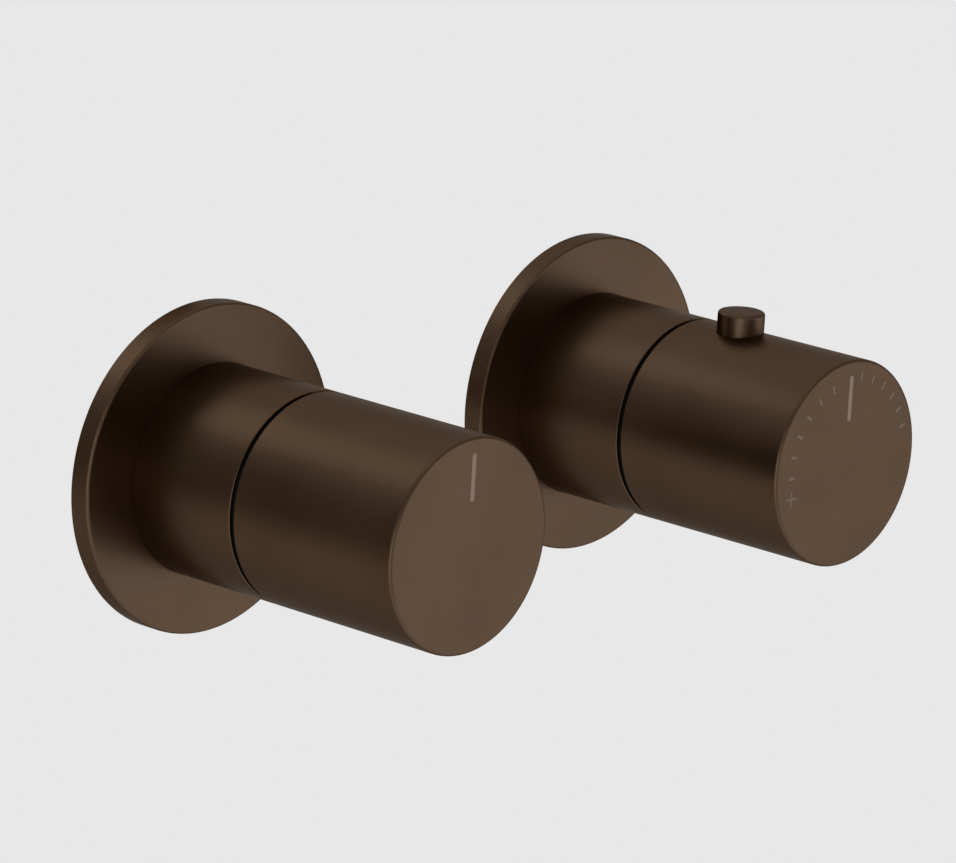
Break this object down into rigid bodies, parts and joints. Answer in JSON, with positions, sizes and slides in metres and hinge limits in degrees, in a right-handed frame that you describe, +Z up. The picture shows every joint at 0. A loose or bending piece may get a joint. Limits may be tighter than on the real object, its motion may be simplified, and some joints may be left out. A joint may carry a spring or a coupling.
{
  "type": "thermostatic shower valve",
  "caption": "Concealed shower valve with a flow knob and a thermostat knob, each a round matt bronze cylinder on a fixed sleeve and a round wall flange",
  "frame": {"origin": "on the finished wall's plane, midway between the two control axes", "axes": "+Z up, +X to the user's right along the wall, +Y into the wall; the user stands on -Y"},
  "size_m": [0.199, 0.1582, 0.096],
  "materials": {
    "valve_body": "raw cast or turned brass",
    "mounting_bracket": "zinc plated steel sheet",
    "bracket_screws": "plain stainless steel",
    "check_valve_seals": "black EPDM rubber",
    "hot_check_cage": "grey glass-filled nylon",
    "hot_check_poppet": "natural acetal",
    "hot_check_spring": "plain stainless steel",
    "hot_filter": "plain stainless steel",
    "cold_check_cage": "grey glass-filled nylon",
    "cold_check_poppet": "natural acetal",
    "cold_check_spring": "plain stainless steel",
    "cold_filter": "plain stainless steel",
    "flow_headwork": "raw cast or turned brass",
    "headwork_washer": "black EPDM rubber",
    "seat_seal": "black EPDM rubber",
    "fixed_ceramic_disc": "lapped alumina",
    "moving_ceramic_disc": "lapped alumina",
    "flow_spindle": "raw cast or turned brass",
    "flow_spindle_seals": "black EPDM rubber",
    "flow_extension": "raw cast or turned brass",
    "extension_screw": "plain stainless steel",
    "flow_hub": "black acetal",
    "flow_hub_screw": "plain stainless steel",
    "flow_grub_screw": "plain stainless steel",
    "flow_knob": "matt dark bronze coating on brass",
    "flow_flange": "matt dark bronze coating on brass",
    "flow_wall_gasket": "black EPDM rubber",
    "flow_sleeve": "matt dark bronze coating on brass",
    "flow_sleeve_seals": "black EPDM rubber",
    "flow_glide_ring": "black acetal",
    "cartridge_sleeve": "raw cast or turned brass",
    "cartridge_seals": "black EPDM rubber",
    "cartridge_head": "raw cast or turned brass",
    "cartridge_nut": "raw cast or turned brass",
    "thermostat_spindle": "raw cast or turned brass",
    "thermostat_spindle_seals": "black EPDM rubber",
    "regulating_nut": "natural acetal",
    "overload_spring": "plain stainless steel",
    "overload_cap": "natural acetal",
    "wax_element": "copper bulb",
    "mixing_shuttle": "natural acetal",
    "shuttle_seal": "black EPDM rubber",
    "return_spring": "plain stainless steel",
    "stop_ring": "red acetal",
    "stop_ring_clip": "plain stainless steel",
    "temperature_hub": "black acetal",
    "temperature_hub_screw": "plain stainless steel",
    "temperature_grub_screw": "plain stainless steel",
    "temperature_knob": "matt dark bronze coating on brass",
    "safety_button": "matt dark bronze coating on brass",
    "button_plunger": "black acetal",
    "button_spring": "plain stainless steel",
    "temperature_flange": "matt dark bronze coating on brass",
    "temperature_wall_gasket": "black EPDM rubber",
    "temperature_sleeve": "matt dark bronze coating on brass",
    "temperature_sleeve_seals": "black EPDM rubber",
    "temperature_glide_ring": "black acetal"
  },
  "bodies": {
    "valve": {"valve_body": "valve_body", "mounting_bracket": "mounting_bracket", "bracket_screws": "bracket_screws", "check_valve_seals": "check_valve_seals", "hot_check_cage": "hot_check_cage", "hot_check_spring": "hot_check_spring", "hot_filter": "hot_filter", "cold_check_cage": "cold_check_cage", "cold_check_spring": "cold_check_spring", "cold_filter": "cold_filter", "flow_headwork": "flow_headwork", "headwork_washer": "headwork_washer", "seat_seal": "seat_seal", "fixed_ceramic_disc": "fixed_ceramic_disc", "flow_flange": "flow_flange", "flow_wall_gasket": "flow_wall_gasket", "flow_sleeve": "flow_sleeve", "flow_sleeve_seals": "flow_sleeve_seals", "flow_glide_ring": "flow_glide_ring", "cartridge_sleeve": "cartridge_sleeve", "cartridge_seals": "cartridge_seals", "cartridge_head": "cartridge_head", "cartridge_nut": "cartridge_nut", "return_spring": "return_spring", "stop_ring": "stop_ring", "stop_ring_clip": "stop_ring_clip", "temperature_flange": "temperature_flange", "temperature_wall_gasket": "temperature_wall_gasket", "temperature_sleeve": "temperature_sleeve", "temperature_sleeve_seals": "temperature_sleeve_seals", "temperature_glide_ring": "temperature_glide_ring"},
    "flow_control": {"flow_knob": "flow_knob", "flow_hub": "flow_hub", "flow_hub_screw": "flow_hub_screw", "flow_grub_screw": "flow_grub_screw", "flow_extension": "flow_extension", "extension_screw": "extension_screw", "flow_spindle": "flow_spindle", "flow_spindle_seals": "flow_spindle_seals", "moving_ceramic_disc": "moving_ceramic_disc"},
    "temperature_control": {"temperature_knob": "temperature_knob", "temperature_hub": "temperature_hub", "temperature_hub_screw": "temperature_hub_screw", "temperature_grub_screw": "temperature_grub_screw", "thermostat_spindle": "thermostat_spindle", "thermostat_spindle_seals": "thermostat_spindle_seals", "button_spring": "button_spring"},
    "push_button": {"safety_button": "safety_button", "button_plunger": "button_plunger"},
    "thermostat_piston": {"regulating_nut": "regulating_nut", "overload_cap": "overload_cap", "overload_spring": "overload_spring", "wax_element": "wax_element", "mixing_shuttle": "mixing_shuttle", "shuttle_seal": "shuttle_seal"},
    "hot_check_valve": {"hot_check_poppet": "hot_check_poppet"},
    "cold_check_valve": {"cold_check_poppet": "cold_check_poppet"}
  },
  "joints": [
    {"name": "flow_turn", "type": "hinge", "parent": "valve", "child": "flow_control", "pos_m": [-0.058, -0.05, 0], "axis": [0, -1, 0], "range_deg": [0, 90]},
    {"name": "temperature_turn", "type": "hinge", "parent": "valve", "child": "temperature_control", "pos_m": [0.058, -0.05, 0], "axis": [0, -1, 0], "range_deg": [-120, 90]},
    {"name": "button_press", "type": "slide", "parent": "temperature_control", "child": "push_button", "axis": [0, 0, -1], "range_m": [0, 0.0025], "stiffness_N_per_m": 800, "springref_m": -0.002, "deforming": ["button_spring"]},
    {"name": "piston_slide", "type": "slide", "parent": "valve", "child": "thermostat_piston", "axis": [0, -1, 0], "range_m": [-0.0007, 0.00055], "deforming": ["return_spring"]},
    {"name": "hot_check_lift", "type": "slide", "parent": "valve", "child": "hot_check_valve", "axis": [0, 0, 1], "range_m": [0, 0.003], "stiffness_N_per_m": 150, "springref_m": -0.004, "deforming": ["hot_check_spring"]},
    {"name": "cold_check_lift", "type": "slide", "parent": "valve", "child": "cold_check_valve", "axis": [0, 0, 1], "range_m": [0, 0.003], "stiffness_N_per_m": 150, "springref_m": -0.004, "deforming": ["cold_check_spring"]}
  ],
  "couplings": [
    {"joint": "piston_slide", "follows": "temperature_turn", "m_per_rad": 0.00031831}
  ]
}
